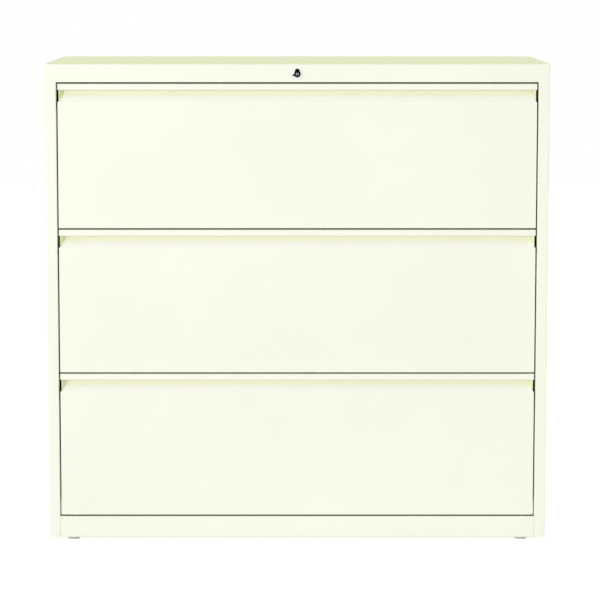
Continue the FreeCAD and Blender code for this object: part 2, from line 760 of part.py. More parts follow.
def outer_slide(label, drawer_low):
    """Fixed member of the left slide, with hooks that seat in the posts' slots."""
    body = new_body(label, back=f"{FRONT} + {POST_LAYER}", up=f"{drawer_low} + slide_rise")
    reach = "(slide_thickness - 2 * slide_gauge - 2 * slide_play)"
    lip = f"(slide_height / 2 - {MIDDLE_HALF} - ball_lip_gap)"
    moves = [
        ("up", lip),
        ("left", reach),
        ("down", "slide_height"),
        ("right", reach),
        ("up", lip),
    ]
    start = (f"-{SLIDE_BACK} + {reach}", f"slide_height / 2 - {lip}")
    folded(body, "XZ", start, moves, "slide_gauge", SLIDE_LENGTH, radius=None)
    tip = f"(-{SLIDE_BACK} - post_gauge - hook_fit - hook_gauge)"
    hooks = []
    for side in (-1, 1):
        middle = f"({side} * hook_pitch / 2)"
        hooks.append([
            (f"-{SLIDE_BACK} + slide_gauge / 2", f"{middle} + hook_neck / 2"),
            (tip, f"{middle} + hook_neck / 2"),
            (tip, f"{middle} - hook_neck / 2 - hook_drop"),
            (f"{tip} + hook_gauge", f"{middle} - hook_neck / 2 - hook_drop"),
            (f"{tip} + hook_gauge", f"{middle} - hook_neck / 2"),
            (f"-{SLIDE_BACK} + slide_gauge / 2", f"{middle} - hook_neck / 2"),
        ])
    for end, middle in (("front", "post_width / 2"), ("rear", f"{SLIDE_LENGTH} - post_width / 2")):
        sketch = outline(body, f"{end}_hook_outline", "XZ", hooks, f"{middle} - hook_width / 2")
        pad(body, f"{end}_hooks", sketch, "hook_width")
    return body


def middle_slide(label, drawer_low):
    """Member of the left slide that runs between the fixed one and the drawer's."""
    body = new_body(label, back=f"{FRONT} + {POST_LAYER} + slide_shorter / 2", up=f"{drawer_low} + slide_rise")
    rear = "(slide_gauge + slide_play)"
    reach = f"(slide_thickness - slide_gauge - slide_play - {rear})"
    lip = f"({MIDDLE_HALF} - {INNER_HALF} - ball_lip_gap)"
    moves = [
        ("up", lip),
        ("left", reach),
        ("down", f"2 * {MIDDLE_HALF}"),
        ("right", reach),
        ("up", lip),
    ]
    start = (f"-{SLIDE_BACK} + {rear} + {reach}", f"{MIDDLE_HALF} - {lip}")
    folded(body, "XZ", start, moves, "slide_gauge", f"{SLIDE_LENGTH} - slide_shorter", radius=None)
    return body


def inner_slide(label, drawer_low):
    """Member of the left slide that is fixed to the tray, open to the case."""
    body = new_body(label, back=f"{FRONT} + {POST_LAYER}", up=f"{drawer_low} + slide_rise")
    reach = "(slide_thickness - 2 * (slide_gauge + slide_play))"
    moves = [
        ("right", reach),
        ("down", f"2 * {INNER_HALF}"),
        ("left", reach),
    ]
    start = (f"-{TRAY_HALF} - {reach}", INNER_HALF)
    folded(body, "XZ", start, moves, "slide_gauge", SLIDE_LENGTH, radius=None, metal_left=False)
    return body


def drawer_front(label, drawer_low):
    """Front sheet: hemmed lip, recessed pull with a sloping floor that blends into the face."""
    body = new_body(label, back=FRONT, up=drawer_low)
    lip_low = f"({FRONT_HEIGHT} - lip_height)"
    wall_low = f"({FRONT_HEIGHT} - pull_wall)"
    slope = f"atan(pull_depth / ({wall_low} - {PULL_BOTTOM}))"
    slope_shift = f"(drawer_sheet * tan({slope} / 2))"
    sheet_edge = "(front_thickness - drawer_sheet)"
    rear_of_wall = "(pull_depth + drawer_sheet)"
    shape = [
        ("lip_hem", f"{lip_low} + hem_rise"),
        ("lip_hem", lip_low),
        ("0", lip_low),
        ("0", FRONT_HEIGHT),
        (rear_of_wall, FRONT_HEIGHT),
        (rear_of_wall, f"{wall_low} - {slope_shift}"),
        ("drawer_sheet", f"{PULL_BOTTOM} - {slope_shift}"),
        ("drawer_sheet", "drawer_sheet"),
        (sheet_edge, "drawer_sheet"),
        (sheet_edge, "0"),
        ("0", "0"),
        ("0", PULL_BOTTOM),
        ("pull_depth", wall_low),
        ("pull_depth", f"{FRONT_HEIGHT} - drawer_sheet"),
        ("drawer_sheet", f"{FRONT_HEIGHT} - drawer_sheet"),
        ("drawer_sheet", f"{lip_low} + drawer_sheet"),
        ("lip_hem - drawer_sheet", f"{lip_low} + drawer_sheet"),
        ("lip_hem - drawer_sheet", f"{lip_low} + hem_rise"),
    ]
    sketch = outline(body, "front_outline", "YZ", [shape])
    pad(body, "front_sheet", sketch, f"2 * {FRONT_HALF}", both_ways=True)
    bend(body, "folds", sketch, [1, 2, 3, 4, 10], "bend_radius + drawer_sheet")
    bend(body, "pull_root_inside", sketch, [12], "pull_root")
    bend(body, "pull_root_outside", sketch, [5], "pull_root + drawer_sheet")
    bend(body, "pull_blend_inside", sketch, [6], "pull_blend - drawer_sheet")
    bend(body, "pull_blend_outside", sketch, [11], "pull_blend")
    flange = rectangle("drawer_sheet / 2", "drawer_sheet / 2", sheet_edge, f"{PULL_BOTTOM} - pull_blend")
    for side, at in (("left", f"-{FRONT_HALF}"), ("right", f"{FRONT_HALF} - drawer_sheet")):
        edge = outline(body, f"{side}_flange_outline", "YZ", [flange], at)
        pad(body, f"{side}_flange", edge, "drawer_sheet")
    inner = f"({FRONT_HALF} - pull_notch)"
    notches = [
        rectangle(inner, PULL_BOTTOM, f"{FRONT_HALF} + {OVERRUN}", lip_low),
        rectangle(f"-{FRONT_HALF} - {OVERRUN}", PULL_BOTTOM, f"-{inner}", lip_low),
    ]
    sketch = outline(body, "notch_outline", "XZ", notches, f"-{OVERRUN}")
    cut(body, "pull_notches", sketch, f"{rear_of_wall} + 2 * {OVERRUN}")
    return body


def pull_end_cap(label, drawer_low):
    """Moulded cap that closes the left end of the pull: a thin rim, then a face that slopes inward."""
    body = new_body(label, f"-({FRONT_HALF} - pull_notch)", FRONT, drawer_low)
    plan = [
        ("0", "cap_set"),
        ("cap_rim", "cap_set"),
        ("cap_rim + cap_slope", "pull_depth"),
        ("0", "pull_depth"),
    ]
    pad(body, "block", outline(body, "cap_plan", "XY", [plan], PULL_BOTTOM), "pull_height")
    wall_low = f"({FRONT_HEIGHT} - pull_wall)"
    under = [
        ("pull_depth", wall_low),
        ("0", PULL_BOTTOM),
        ("0", f"{PULL_BOTTOM} - {OVERRUN}"),
        (f"pull_depth + {OVERRUN}", f"{PULL_BOTTOM} - {OVERRUN}"),
        (f"pull_depth + {OVERRUN}", wall_low),
    ]
    sketch = outline(body, "slope_outline", "YZ", [under], f"-{OVERRUN}")
    cut(body, "sloping_floor", sketch, f"cap_rim + cap_slope + 2 * {OVERRUN}")
    bend(body, "root", sketch, [0], "pull_root")
    return body


def front_liner(label, drawer_low):
    """Flat liner that closes the rear of the front and carries the tray."""
    body = new_body(label, back=FRONT, up=drawer_low)
    start = ("pull_depth + drawer_sheet", FRONT_HEIGHT)
    moves = [
        ("right", "front_thickness - pull_depth - drawer_sheet"),
        ("down", FRONT_HEIGHT),
    ]
    folded(body, "YZ", start, moves, "drawer_sheet", f"2 * {FRONT_HALF}", metal_left=False, both_ways=True)
    return body


def tray(label, drawer_low):
    """Bottom and sides from one sheet, hemmed at the top and flanged at the front."""
    body = new_body(label, back=f"{FRONT} + front_thickness", up=drawer_low)
    moves = [
        ("left", "tray_hem"),
        ("down", "tray_height"),
        ("right", f"2 * {TRAY_HALF}"),
        ("up", "tray_height"),
        ("left", "tray_hem"),
    ]
    folded(body, "XZ", (f"-{TRAY_HALF} + tray_hem", TRAY_TOP), moves, "drawer_sheet", TRAY_DEPTH)
    outer = f"({TRAY_HALF} - drawer_sheet / 2)"
    inner = f"({TRAY_HALF} - tray_flange)"
    low = "(tray_rise + drawer_sheet / 2)"
    high = f"({TRAY_TOP} - drawer_sheet)"
    flange = [
        (f"-{outer}", low),
        (outer, low),
        (outer, high),
        (inner, high),
        (inner, "tray_rise + tray_flange"),
        (f"-{inner}", "tray_rise + tray_flange"),
        (f"-{inner}", high),
        (f"-{outer}", high),
    ]
    pad(body, "front_flange", outline(body, "flange_outline", "XZ", [flange]), "drawer_sheet")
    return body


def drawer_back(label, drawer_low):
    """Rear wall of the drawer, flanged forward inside the tray's sides."""
    body = new_body(label, back=f"{FRONT} + front_thickness + {TRAY_DEPTH}", up=drawer_low)
    plate = rectangle(f"-{TRAY_HALF}", "tray_rise", TRAY_HALF, TRAY_TOP)
    pad(body, "plate", outline(body, "plate_outline", "XZ", [plate]), "drawer_sheet")
    outer = f"({TRAY_HALF} - drawer_sheet)"
    inner = f"({TRAY_HALF} - 2 * drawer_sheet)"
    low = "(tray_rise + tray_flange)"
    high = f"({TRAY_TOP} - tray_hem)"
    flanges = [rectangle(inner, low, outer, high), rectangle(f"-{outer}", low, f"-{inner}", high)]
    sketch = outline(body, "flange_outline", "XZ", flanges, "-tray_flange")
    pad(body, "side_flanges", sketch, "tray_flange + drawer_sheet / 2")
    return body


def hang_rail(label, drawer_low, inset):
    """Rail across the drawer for hanging folders, notched to rest on the tray's hems."""
    body = new_body(label, back=f"{FRONT} + front_thickness + {inset}", up=f"{drawer_low} + {TRAY_TOP}")
    notch = f"({TRAY_HALF} - tray_hem - hang_rail_fit)"
    shape = [
        (f"-{TRAY_HALF}", "0"),
        (f"-{TRAY_HALF}", "hang_rail_rise"),
        (TRAY_HALF, "hang_rail_rise"),
        (TRAY_HALF, "0"),
        (notch, "0"),
        (notch, "-hang_rail_drop"),
        (f"-{notch}", "-hang_rail_drop"),
        (f"-{notch}", "0"),
    ]
    pad(body, "rail", outline(body, "rail_outline", "XZ", [shape]), "hang_rail_gauge")
    return body


def lock_catch(label, drawer_low):
    """Angle on the tray's right side that the lock bar's lug stops."""
    body = new_body(label, back=FRONT, up=f"{drawer_low} + catch_rise - catch_height / 2")
    moves = [
        ("down", "catch_foot"),
        ("right", f"{OPENING} - lug_gap - {TRAY_HALF}"),
    ]
    start = (TRAY_HALF, f"{CATCH_LAYER} + catch_foot")
    folded(body, "XY", start, moves, "catch_gauge", "catch_height", radius=None)
    return body


def make_case():
    """The fixed pieces."""
    left = side_panel()
    front_post = slide_post("front_left_post", POST_LAYER)
    rear_post = slide_post("rear_left_post", REAR_POST)
    return [
        left,
        mirrored("side_panel_right", left),
        top_panel(),
        back_panel(),
        base_front_rail(),
        base_rear_rail(),
        counterweight(),
        front_post,
        mirrored("front_right_post", front_post),
        rear_post,
        mirrored("rear_right_post", rear_post),
    ]


def make_glides():
    """The four levelling glides and their nuts."""
    feet = []
    nuts = []
    for end, back in (("front", f"{FRONT} + glide_inset"), ("rear", f"{BACK_FACE} - glide_inset")):
        for side, across in (("left", f"-{GLIDE_ACROSS}"), ("right", GLIDE_ACROSS)):
            feet.append(glide(f"{end}_{side}_glide", across, back))
            nuts.append(glide_nut(f"{end}_{side}_nut", across, back))
    return feet + [grouped("glide_nuts", nuts)]


def make_lock(lows):
    """The lock and everything that it moves."""
    guides = [
        link_cradle("inner_link_cradle", "inner_cradle"),
        link_cradle("outer_link_cradle", f"{OPENING} - outer_cradle_margin"),
        bar_strap("lower_bar_strap", lows[-1]),
        bar_strap("upper_bar_strap", lows[0]),
    ]
    lugs = [bar_head()] + [bar_lug(f"{name}_lug", low) for name, low in zip(DRAWERS, lows)]
    return [
        lock_bezel(),
        lock_housing(),
        lock_plug(),
        lock_cam(),
        lock_link(),
        lock_bar(),
        grouped("lock_bar_lugs", lugs),
        grouped("lock_guides", guides),
    ]


def make_drawer(name, low):
    """One drawer with its slides."""
    cap = pull_end_cap(f"{name}_left_cap", low)
    outer = outer_slide(f"{name}_outer_slide_left", low)
    middle = middle_slide(f"{name}_left_middle", low)
    inner = inner_slide(f"{name}_inner_slide_left", low)
    rails = [
        hang_rail(f"{name}_front_rail", low, "front_rail_inset"),
        hang_rail(f"{name}_rear_rail", low, f"({TRAY_DEPTH} - rear_rail_inset)"),
    ]
    return [
        drawer_front(f"{name}_front", low),
        grouped(f"{name}_pull_end_caps", [cap, mirrored(f"{name}_right_cap", cap)]),
        front_liner(f"{name}_front_liner", low),
        tray(f"{name}_tray", low),
        drawer_back(f"{name}_back", low),
        grouped(f"{name}_hang_rails", rails),
        lock_catch(f"{name}_lock_catch", low),
        outer,
        mirrored(f"{name}_outer_slide_right", outer),
        grouped(f"{name}_middle_slides", [middle, mirrored(f"{name}_right_middle", middle)]),
        inner,
        mirrored(f"{name}_inner_slide_right", inner),
    ]


def check_document():
    """Stop on any object that failed and on any cut that took nothing away."""
    for item in doc.Objects:
        if {"Invalid", "Error"} & set(item.State):
            raise ValueError(f"{item.Label} failed: {item.State}")
        if item.TypeId == "Sketcher::SketchObject" and not item.FullyConstrained:
            raise ValueError(f"{item.Label} in {item.getParentGeoFeatureGroup().Label} isn't held")
        if item.TypeId == "PartDesign::Pocket" and item.Shape.Volume >= item.BaseFeature.Shape.Volume:
            raise ValueError(f"{item.Label} in {item.getParentGeoFeatureGroup().Label} cuts nothing")


def write_parts(parts):
    """Write each piece to its own file once every shape is sound."""
    for part in parts:
        if part.Shape.isNull() or not part.Shape.isValid():
            raise ValueError(f"{part.Label} has no sound shape")
    os.makedirs("parts", exist_ok=True)
    for part in parts:
        part.Shape.exportStep(f"parts/{part.Label}.step")


make_sheet()
drawer_lows = [
    f"({LOWEST_DRAWER} + {len(DRAWERS) - 1 - number} * {DRAWER_PITCH})" for number in range(len(DRAWERS))
]
pieces = make_case() + make_glides() + make_lock(drawer_lows)
for drawer, drawer_low in zip(DRAWERS, drawer_lows):
    pieces += make_drawer(drawer, drawer_low)
doc.recompute()
check_document()
write_parts(pieces)
print(len(pieces), "pieces")
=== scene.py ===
"""Finish, small hardware, floor, light and camera for the three-drawer lateral filing cabinet."""

import math

import bmesh
import bpy
from mathutils import Matrix, Vector


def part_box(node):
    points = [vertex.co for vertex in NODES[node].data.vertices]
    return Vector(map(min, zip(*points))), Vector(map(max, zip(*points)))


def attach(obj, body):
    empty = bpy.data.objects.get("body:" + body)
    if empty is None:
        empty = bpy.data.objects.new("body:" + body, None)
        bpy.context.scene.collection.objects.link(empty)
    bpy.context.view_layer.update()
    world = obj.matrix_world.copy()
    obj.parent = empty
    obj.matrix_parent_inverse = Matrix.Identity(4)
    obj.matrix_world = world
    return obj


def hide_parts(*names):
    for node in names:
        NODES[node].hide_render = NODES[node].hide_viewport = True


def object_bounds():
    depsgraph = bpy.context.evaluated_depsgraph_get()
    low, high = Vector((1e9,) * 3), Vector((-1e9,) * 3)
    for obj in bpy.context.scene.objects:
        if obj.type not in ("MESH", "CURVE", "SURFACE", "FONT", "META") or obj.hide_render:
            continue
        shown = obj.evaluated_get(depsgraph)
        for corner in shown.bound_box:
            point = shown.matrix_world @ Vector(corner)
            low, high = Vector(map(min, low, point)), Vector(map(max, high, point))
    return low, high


DRAWERS = ("drawer_1", "drawer_2", "drawer_3")
SIDES = ("left", "right")

# Colours, linear.
IVORY = (0.925, 0.932, 0.835)
# Painted shade: the yellow-green cast that the top's paint has in shade, painted into its colour.
TOP_SHADE_TINT = (0.960, 0.980, 0.65)
# Painted shade: the yellow-green cast of the shade deep in the pull, painted into its colour.
PULL_SHADE_TINT = (0.985, 0.995, 0.74)
# Painted light: a paler colour that lifts the shaded pull, from just behind the drawer faces.
PULL_PAINTED_LIGHT = (0.985, 0.985, 0.925)
# Painted shade: dark grey on level ledges in the gaps behind the drawer faces.
GAP_SHADE_GREY = (0.42, 0.42, 0.37)
MOULDED_IVORY = (0.84, 0.88, 0.56)
ZINC = (0.60, 0.615, 0.625)
MILL_STEEL = (0.20, 0.20, 0.205)
RUST = (0.16, 0.075, 0.035)
CHROME = (0.93, 0.93, 0.88)
PLUG_METAL = (0.42, 0.42, 0.40)
POLISHED_STEEL = (0.72, 0.72, 0.72)
LOCK_BLACK = (0.003, 0.003, 0.0025)
NYLON = (0.62, 0.63, 0.52)
WHITE = (1.0, 1.0, 1.0)
FLOOR_PAPER = (0.92, 0.92, 0.90)
FLOOR_SKIN = (0.36, 0.36, 0.36)
DIM_SKY = (0.95, 1.0, 0.83)

# How much darker or lighter a finish gets in its patches.
PAINT_TONES = (0.985, 1.012)
PLASTIC_TONE = 0.93
PLATED_TONE = 0.80
SCALE_TONE = 0.55
TURNED_TONE = 0.9
NYLON_TONE = 0.8

# Roughness where untouched and where handled most.
PAINT_SHEEN = (0.52, 0.42)
LOCK_BLACK_SHEEN = (0.65, 0.5)
PLASTIC_SHEEN = (0.55, 0.40)
ZINC_SHEEN = (0.26, 0.42)
BALL_SHEEN = (0.12, 0.25)
SCALE_SHEEN = (0.62, 0.40)
TURNED_SHEEN = (0.24, 0.38)
GLIDE_SHEEN = (0.58, 0.38)
MOST_HANDLED = 1.3

# Specular level of the paints, and share of metal in the bezel's plating.
PAINT_GLOSS = 0.38
LOCK_BLACK_GLOSS = 0.05
BEZEL_METAL = 0.2

# Real height of each surface's grain, in metres.
PAINT_GRAIN = 0.00006
LOCK_BLACK_GRAIN = 0.00002
PLASTIC_GRAIN = 0.00004
PLATED_GRAIN = 0.00002
SCALE_GRAIN = 0.00012
TURNED_GRAIN = 0.000012
GLIDE_GRAIN = 0.00003

# Patterns: scale along each axis, shares of the finer one, and waves a metre.
STREAKS_ALONG_X = (0.18, 1.0, 1.0)
ROLLED_ALONG_Y = (1.0, 0.02, 1.0)
GRAIN_SHARE = 0.22
STREAK_SHARE = 0.35
LINE_SHARE = 0.8
TONE_WAVES = 3.1
SCALE_WAVES = 55.0
BLOOM_WAVES = 14.0
RING_WAVES = 4200.0

# Painted shade and light: metres behind the drawer faces, metres below the top, and the normal's upward
# part.
PULL_SHADE_DEPTHS = (0.007, 0.0165)
PULL_LIGHT_DEPTHS = (0.001, 0.004)
TOP_BAND = (0.004, 0.002)
FACES_UP = (0.4, 0.9)
LIES_LEVEL = (0.97, 0.995)

# Small hardware, in metres.
BALL_RADIUS = 0.00125
BALLS_IN_RACE = 8
RACE_PLAY = 0.00005
CAGE_GAUGE = 0.0004
CAGE_HALF = 0.0005
CAGE_LENGTH = 0.150
CAGE_END = 0.012
OUTER_RACE_ACROSS = 0.0080
INNER_RACE_ACROSS = 0.0063
TRAY_SHEET = 0.0009
RIVET_HEAD = ((0.0036, 0.0), (0.0035, 0.0006), (0.0028, 0.0012), (0.0016, 0.0016), (0.0, 0.0017))
RIVET_SHARES = (0.08, 0.36, 0.64, 0.92)
RIVET_SIDES = 20
GLIDE_PAD_TOP = 0.0046
SHARP_FROM = math.radians(35)

# The lock, in metres from its axis.
LOCK_HEIGHT = 1.001
BARREL_RADIUS = 0.0073
LOBE_RADIUS = 0.0054
LOBE_RISE = 0.006
HOUSING_PLAY = 0.0001
BRIGHT_PLUG_RADIUS = 0.0031
# The key slot's half width and height; the plug's material paints it black, as painted shade.
KEY_SLOT_HALF = (0.0010, 0.0029)
TAB_ACROSS = (0.0104, 0.0066)
TAB_BELOW = (0.0044, 0.0006)
TAB_PROUD = 0.0024
TAB_EDGE = 0.0004
BEZEL_SIDES = 96
BEZEL_RIM = 0.10
BEZEL_CROWN = 0.88
# Share of the way from the opening to the rim, and depth behind the header's face, or None on the dome.
BEZEL_PROFILE = (
    (0.0, 0.001), (0.0, None), (0.1, None), (0.3, None), (0.5, None),
    (0.7, None), (0.85, None), (0.95, None), (1.0, None), (1.0, 0.0),
)

# Stage, in metres, watts and radians.
FLOOR_REACH = 9.0
FLOOR_GLOW = 0.86
DIM_SKY_STRENGTH = 0.705
LAMP_PLACE = (-8.4, -14.0, 3.4)
LAMP_TARGET = (0.0, 0.0, 0.5)
LAMP_SIZE = (10.4, 8.0)
LAMP_POWER = 1062.0
LAMP_COLOUR = (1.08, 1.0, 1.2)
CAMERA_PLACE = (-0.0185, -5.7365, 1.2266)
CAMERA_TILT = 0.1185
CAMERA_LENS_MM = 156.06
CAMERA_SENSOR_MM = 36.0
CAMERA_SHIFT = (0.0191, -0.04)


# Shader building


def new_tree(name, inputs, outputs):
    """A node group with these number sockets, inputs with their values; returns it and its end nodes."""
    tree = bpy.data.node_groups.new(name, "ShaderNodeTree")
    for label, value in inputs.items():
        socket = tree.interface.new_socket(name=label, in_out="INPUT", socket_type="NodeSocketFloat")
        socket.default_value = value
    for label in outputs:
        tree.interface.new_socket(name=label, in_out="OUTPUT", socket_type="NodeSocketFloat")
    start = tree.nodes.new("NodeGroupInput")
    end = tree.nodes.new("NodeGroupOutput")
    return tree, start, end


def node(tree, kind, settings=None, **links):
    """A new node: settings are its properties, links its inputs by name or as _number, each a value or
    another socket."""
    made = tree.nodes.new(kind)
    for key, value in (settings or {}).items():
        setattr(made, key, value)
    for label, value in links.items():
        socket = made.inputs[int(label[1:])] if label[1:].isdigit() else made.inputs[label]
        if isinstance(value, bpy.types.NodeSocket):
            tree.links.new(value, socket)
        else:
            socket.default_value = value
    return made


def maths(tree, operation, *values):
    """The result of one operation on these values, each a number or a socket."""
    links = {f"_{place}": value for place, value in enumerate(values)}
    return node(tree, "ShaderNodeMath", {"operation": operation}, **links).outputs[0]


def mix_colour(tree, share, first, second):
    """The colour between first and second at share."""
    first, second = (
        end if isinstance(end, bpy.types.NodeSocket) else (*end, 1.0) for end in (first, second)
    )
    return node(tree, "ShaderNodeMix", {"data_type": "RGBA"}, _0=share, _6=first, _7=second).outputs[2]


def stretch(tree, value, low, high, start=0.0, end=1.0):
    """value from low to high, mapped to start to end and held there."""
    return node(tree, "ShaderNodeMapRange", _0=value, _1=low, _2=high, _3=start, _4=end).outputs[0]


def noise(tree, vector, scale, detail=2.0, roughness=0.5):
    """Smooth noise from 0 to 1 at this many waves a metre."""
    return node(
        tree, "ShaderNodeTexNoise", Vector=vector, Scale=scale, Detail=detail, Roughness=roughness
    ).outputs["Fac"]


def own_place(tree):
    """Where a point lies in the part's own frame."""
    return node(tree, "ShaderNodeTexCoord").outputs["Object"]


def scaled(colour, share):
    """A colour darker or lighter by share, at most white."""
    return tuple(min(1.0, part * share) for part in colour)


def orange_peel():
    """The fine swell and grain that powder coat cures with, and its slight change in tone."""
    tree, start, end = new_tree("orange_peel", {"Waves": 420.0, "Grain": 2600.0}, ("Height", "Tone"))
    place = own_place(tree)
    swell = noise(tree, place, start.outputs["Waves"], detail=1.5)
    grain = noise(tree, place, start.outputs["Grain"], detail=1.0)
    cloud = noise(tree, place, TONE_WAVES, detail=3.0)
    tree.links.new(maths(tree, "MULTIPLY_ADD", grain, GRAIN_SHARE, swell), end.inputs["Height"])
    tree.links.new(stretch(tree, cloud, 0.35, 0.65), end.inputs["Tone"])
    return tree


def handling():
    """Where hands and cloths have polished or dulled a surface, from 0 where untouched to 1 and the
    streaks' share where handled most."""
    tree, start, end = new_tree("handling", {"Patches": 9.0, "Streaks": 60.0}, ("Mask",))
    place = own_place(tree)
    drawn = node(tree, "ShaderNodeMapping", Vector=place, Scale=STREAKS_ALONG_X).outputs[0]
    patches = noise(tree, place, start.outputs["Patches"], detail=4.0, roughness=0.6)
    streaks = noise(tree, drawn, start.outputs["Streaks"], detail=3.0, roughness=0.55)
    patches = stretch(tree, patches, 0.42, 0.7)
    streaks = stretch(tree, streaks, 0.4, 0.75)
    tree.links.new(maths(tree, "MULTIPLY_ADD", streaks, STREAK_SHARE, patches), end.inputs["Mask"])
    return tree


def painted_shading(front, top):
    """Paints shade and light into the colour: yellow-green painted shade deep in the pull and on the top;
    painted light from just behind the drawer faces, in the pull; and dark grey painted shade on level
    ledges in the gaps behind the drawer faces. front is their Y, top is Z at the top."""
    tree, start, end = new_tree(
        "painted_shading", {"Pull": 0.0, "Top": 0.0, "Ledge": 0.0}, ("Mask", "Painted light", "Gap shade")
    )
    coordinates = node(tree, "ShaderNodeTexCoord").outputs
    _, back, height = node(tree, "ShaderNodeSeparateXYZ", Vector=coordinates["Object"]).outputs
    upward = node(tree, "ShaderNodeSeparateXYZ", Vector=coordinates["Normal"]).outputs[2]
    # Painted shade: the tint grows from 7 mm to 16.5 mm behind the drawer faces, deep in the pull.
    depth = stretch(tree, back, *(front + step for step in PULL_SHADE_DEPTHS))
    pull = maths(tree, "MULTIPLY", depth, start.outputs["Pull"])
    near_top = stretch(tree, height, *(top - step for step in TOP_BAND))
    # Painted shade: faces near the top that look up take the yellow-green shade tint.
    lid = maths(tree, "MULTIPLY", stretch(tree, upward, *FACES_UP), near_top)
    roof = maths(tree, "MULTIPLY", lid, start.outputs["Top"])
    tree.links.new(maths(tree, "MAXIMUM", pull, roof), end.inputs["Mask"])
    # Painted light: paler from 1 mm to 4 mm behind the drawer faces and deeper, in the pull.
    inward = stretch(tree, back, *(front + step for step in PULL_LIGHT_DEPTHS))
    tree.links.new(maths(tree, "MULTIPLY", inward, start.outputs["Pull"]), end.inputs["Painted light"])
    # Painted shade: dark grey on level faces behind the drawer faces, in the gaps.
    shaded_ledge = maths(tree, "MULTIPLY", stretch(tree, upward, *LIES_LEVEL), inward)
    tree.links.new(maths(tree, "MULTIPLY", shaded_ledge, start.outputs["Ledge"]), end.inputs["Gap shade"])
    return tree


def zinc_spangle():
    """Plated sheet: faint crystal cells crossed by the long lines that rolling leaves along Y."""
    tree, start, end = new_tree("zinc_spangle", {"Cells": 130.0, "Lines": 900.0}, ("Tone", "Height"))
    place = own_place(tree)
    cells = node(tree, "ShaderNodeTexVoronoi", Vector=place, Scale=start.outputs["Cells"])
    rolled = node(tree, "ShaderNodeMapping", Vector=place, Scale=ROLLED_ALONG_Y).outputs[0]
    lines = noise(tree, rolled, start.outputs["Lines"], roughness=0.6)
    shade = node(tree, "ShaderNodeSeparateColor", Color=cells.outputs["Color"]).outputs[0]
    tone = maths(tree, "MULTIPLY_ADD", lines, LINE_SHARE, shade)
    tree.links.new(stretch(tree, tone, 0.2, 1.6), end.inputs["Tone"])
    tree.links.new(lines, end.inputs["Height"])
    return tree


def new_material(name):
    """An empty material; returns it, its tree and its Principled BSDF."""
    made = bpy.data.materials.new(name)
    made.use_nodes = True
    tree = made.node_tree
    tree.nodes.clear()
    shader = tree.nodes.new("ShaderNodeBsdfPrincipled")
    output = tree.nodes.new("ShaderNodeOutputMaterial")
    tree.links.new(shader.outputs[0], output.inputs["Surface"])
    return made, tree, shader


def use_group(tree, group, **values):
    """A group placed in a material with its own values."""
    made = tree.nodes.new("ShaderNodeGroup")
    made.node_tree = group
    for label, value in values.items():
        made.inputs[label].default_value = value
    return made


def wear(tree, shader, hands, sheen):
    """Sets the shader's roughness from the handling group hands, from untouched to handled most."""
    rough = stretch(tree, hands.outputs["Mask"], 0.0, MOST_HANDLED, *sheen)
    tree.links.new(rough, shader.inputs["Roughness"])


def bump(tree, shader, height, distance):
    """Sets the shader's normal from a height, where distance is the real height of 1 in metres."""
    made = node(tree, "ShaderNodeBump", Height=height, Distance=distance, Strength=1.0)
    tree.links.new(made.outputs[0], shader.inputs["Normal"])


def powder_coat(
    name, colour, peel, touched, sheen=PAINT_SHEEN, grain=PAINT_GRAIN, gloss=PAINT_GLOSS, shade_paint=None
):
    """Semi-gloss powder coat on folded sheet steel; its last argument, when given, is a group that paints
    shade and light into the colour, the shade tint that it paints and its shares by name."""
    made, tree, shader = new_material(name)
    skin = use_group(tree, peel)
    deep, light = (scaled(colour, share) for share in PAINT_TONES)
    tone = mix_colour(tree, skin.outputs["Tone"], deep, light)
    if shade_paint:
        group, turned, shares = shade_paint
        painted_shade_group = use_group(tree, group, **shares)
        # Painted light, then the painted shade tint, then painted shade in the gaps, mixed into the colour.
        tone = mix_colour(tree, painted_shade_group.outputs["Painted light"], tone, PULL_PAINTED_LIGHT)
        tone = mix_colour(tree, painted_shade_group.outputs["Mask"], tone, turned)
        tone = mix_colour(tree, painted_shade_group.outputs["Gap shade"], tone, GAP_SHADE_GREY)
    tree.links.new(tone, shader.inputs["Base Color"])
    wear(tree, shader, use_group(tree, touched), sheen)
    shader.inputs["Specular IOR Level"].default_value = gloss
    bump(tree, shader, skin.outputs["Height"], grain)
    return made


def moulded_plastic(name, colour, peel, touched):
    """Moulded ABS in the cabinet's colour, a little greener and duller than the paint."""
    made, tree, shader = new_material(name)
    skin = use_group(tree, peel, Waves=900.0, Grain=5200.0)
    tone = mix_colour(tree, skin.outputs["Tone"], scaled(colour, PLASTIC_TONE), colour)
    tree.links.new(tone, shader.inputs["Base Color"])
    wear(tree, shader, use_group(tree, touched, Patches=40.0, Streaks=160.0), PLASTIC_SHEEN)
    bump(tree, shader, skin.outputs["Height"], PLASTIC_GRAIN)
    return made


def plated_steel(name, colour, spangle, touched, sheen=ZINC_SHEEN):
    """Zinc-plated rolled steel."""
    made, tree, shader = new_material(name)
    plate = use_group(tree, spangle)
    tone = mix_colour(tree, plate.outputs["Tone"], scaled(colour, PLATED_TONE), colour)
    tree.links.new(tone, shader.inputs["Base Color"])
    wear(tree, shader, use_group(tree, touched, Patches=35.0, Streaks=220.0), sheen)
    shader.inputs["Metallic"].default_value = 1.0
    bump(tree, shader, plate.outputs["Height"], PLATED_GRAIN)
    return made


